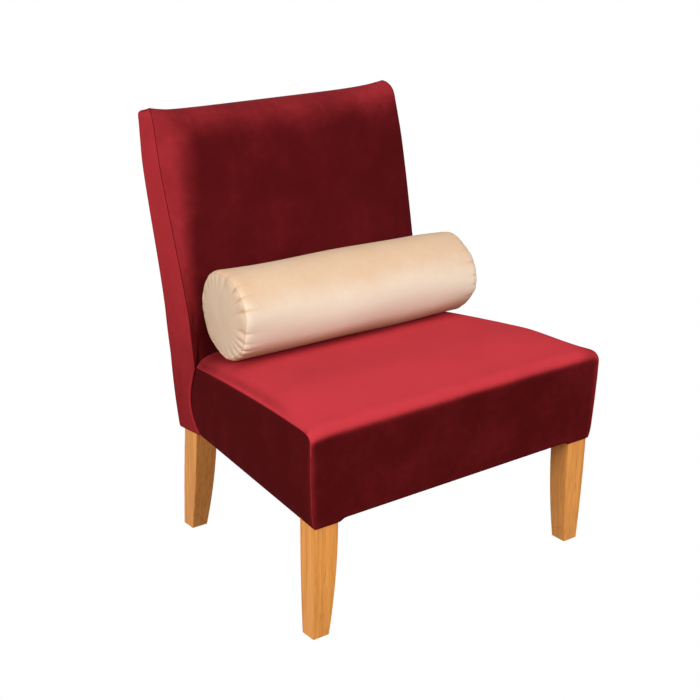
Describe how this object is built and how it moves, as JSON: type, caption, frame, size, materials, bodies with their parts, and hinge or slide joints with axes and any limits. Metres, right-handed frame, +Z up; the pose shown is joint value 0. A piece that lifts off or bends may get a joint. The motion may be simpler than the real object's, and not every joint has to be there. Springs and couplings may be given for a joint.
{
  "type": "armless upholstered chair",
  "caption": "Armless slipper chair in dark red velvet with a raked boxed back, square tapered wooden legs and a loose cream bolster.",
  "frame": {"origin": "on the floor, in the middle of the chair's width and depth", "axes": "+Z up; +X to the right of a person who looks at the front of the chair; +Y towards the back, so the front of the seat faces -Y"},
  "size_m": [0.6562, 0.6152, 0.8144],
  "materials": {
    "red_velvet": "dark red upholstery velvet, short pile",
    "cream_velvet": "cream velvet, short pile",
    "honey_wood": "honey stain, satin lacquer, straight grain",
    "frame_wood": "planed beech, unfinished",
    "foam": "cut polyurethane foam",
    "wadding": "bonded polyester wadding",
    "webbing": "woven elastic webbing",
    "black_cloth": "spun-bonded cloth",
    "liner_board": "grey-brown liner board",
    "steel": "zinc plated screws",
    "glide_plastic": "moulded, dark",
    "zip": "coil zip, dyed to the cover"
  },
  "bodies": {
    "chair": {"seat_cover": "red_velvet", "back_cover": "red_velvet", "outside_back_panel": "red_velvet", "front_leg_left": "honey_wood", "front_leg_right": "honey_wood", "rear_stile_left": "honey_wood", "rear_stile_right": "honey_wood", "front_rail": "frame_wood", "rear_rail": "frame_wood", "side_rail_left": "frame_wood", "side_rail_right": "frame_wood", "back_top_rail": "frame_wood", "back_tack_rail": "frame_wood", "corner_blocks": "frame_wood", "seat_frame_dowels": "frame_wood", "back_frame_dowels": "frame_wood", "seat_foam": "foam", "back_foam": "foam", "seat_wadding": "wadding", "back_wadding": "wadding", "seat_belts_long": "webbing", "seat_belts_cross": "webbing", "back_belts": "webbing", "dust_cover": "black_cloth", "platform_cloth": "black_cloth", "back_liner": "liner_board", "corner_block_screws": "steel", "leg_glides": "glide_plastic"},
    "bolster": {"bolster_cover": "cream_velvet", "bolster_filling": "wadding", "bolster_zip_tape": "zip", "bolster_zip_coil": "zip"},
    "zip_slider": {"zip_slider": "zip"}
  },
  "joints": [
    {"name": "bolster_lift", "type": "slide", "parent": "chair", "child": "bolster", "axis": [0, 0, 1], "range_m": [0, 0.45]},
    {"name": "zip_slide", "type": "slide", "parent": "bolster", "child": "zip_slider", "axis": [0.9998, -0.0174, 0], "range_m": [-0.39, 0]}
  ]
}
